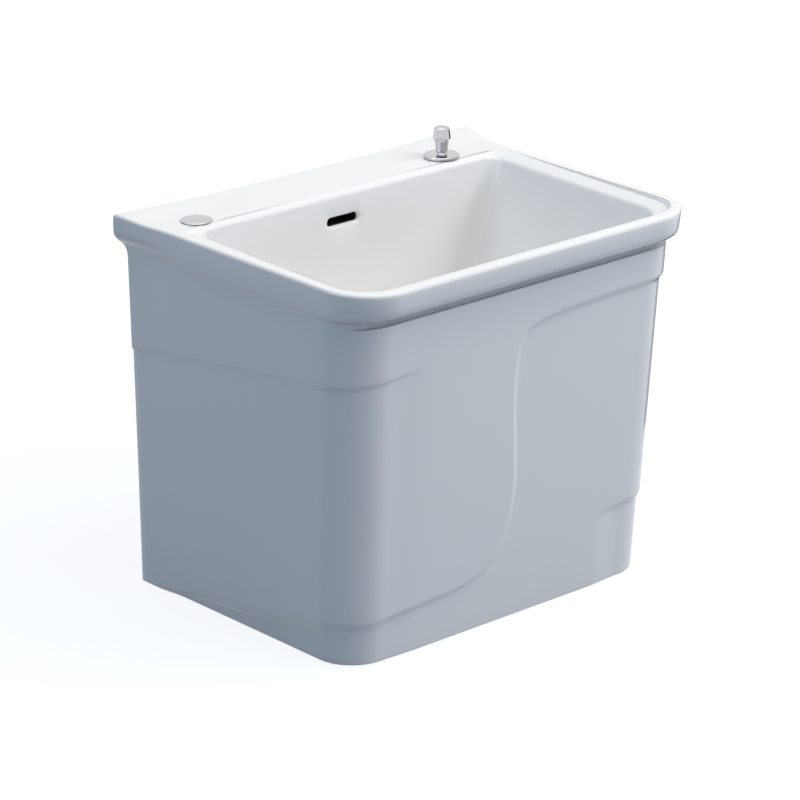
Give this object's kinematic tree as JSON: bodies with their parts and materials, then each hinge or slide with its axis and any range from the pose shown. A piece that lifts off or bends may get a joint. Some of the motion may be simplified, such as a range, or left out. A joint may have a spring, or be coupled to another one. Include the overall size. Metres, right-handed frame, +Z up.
{
  "type": "mop sink",
  "caption": "Floor-standing mop sink: deep rectangular glazed bowl on a tapered skirt, rear deck with hole cap and pull knob working a pop-up waste.",
  "frame": {"origin": "on the floor under the middle of the rim", "axes": "+X to the right seen from the front, +Y from the front to the wall, +Z up"},
  "size_m": [0.523, 0.396, 0.47],
  "materials": {
    "white_glaze": "glossy white glaze on fireclay",
    "chrome": "polished chrome plate",
    "steel": "zinc or stainless, satin",
    "brass": "turned brass",
    "black_plastic": "black moulded plastic",
    "grey_plastic": "grey moulded plastic",
    "white_plastic": "white moulded plastic",
    "black_rubber": "black rubber"
  },
  "bodies": {
    "sink": {"china_tub": "white_glaze", "knob_flange": "chrome", "hole_cap": "chrome", "waste_flange": "chrome", "cable_bracket": "steel", "bracket_screw": "steel", "bracket_nut": "steel", "upper_ferrule": "steel", "lower_ferrule": "steel", "under_deck_washer": "steel", "cap_clamp_bar": "steel", "guide_tube": "brass", "guide_nut": "brass", "cap_stud": "brass", "cap_nut": "brass", "gland_nut": "brass", "guide_end_cap": "black_plastic", "cable_sheath": "black_plastic", "lock_nut": "grey_plastic", "pivot_housing": "white_plastic", "tailpiece": "white_plastic", "slip_nut": "white_plastic", "slip_washer": "grey_plastic", "deck_seal": "black_rubber", "shaft_oring": "black_rubber", "flange_gasket": "black_rubber", "boss_gasket": "black_rubber", "tailpiece_washer": "black_rubber", "floor_seal": "black_rubber", "cap_gasket": "black_rubber"},
    "knob": {"pull_knob": "chrome", "knob_spindle": "steel", "spindle_oring": "black_rubber", "pull_wire_upper": "steel"},
    "rocker": {"rocker_shaft": "brass", "crank_arm": "steel", "crank_screw": "steel"},
    "stopper_group": {"stopper": "chrome", "stopper_oring": "black_rubber", "stopper_stem": "steel"},
    "cable_end": {"pull_wire_lower": "steel"}
  },
  "joints": [
    {"name": "knob_slide", "type": "slide", "parent": "sink", "child": "knob", "axis": [0, 0, 1], "range_m": [0, 0.0105]},
    {"name": "rocker_turn", "type": "hinge", "parent": "sink", "child": "rocker", "pos_m": [0, 0.014, 0.08], "axis": [-1, 0, 0], "range_deg": [0, 34]},
    {"name": "stopper_lift", "type": "slide", "parent": "sink", "child": "stopper_group", "axis": [0, 0, 1], "range_m": [0, 0.008]},
    {"name": "cable_pull", "type": "slide", "parent": "sink", "child": "cable_end", "axis": [0, 1, 0], "range_m": [0, 0.0105]}
  ],
  "couplings": [
    {"joint": "rocker_turn", "follows": "knob_slide", "rad_per_m": 56.51},
    {"joint": "stopper_lift", "follows": "knob_slide", "ratio": 0.7619},
    {"joint": "cable_pull", "follows": "knob_slide", "ratio": 1}
  ]
}
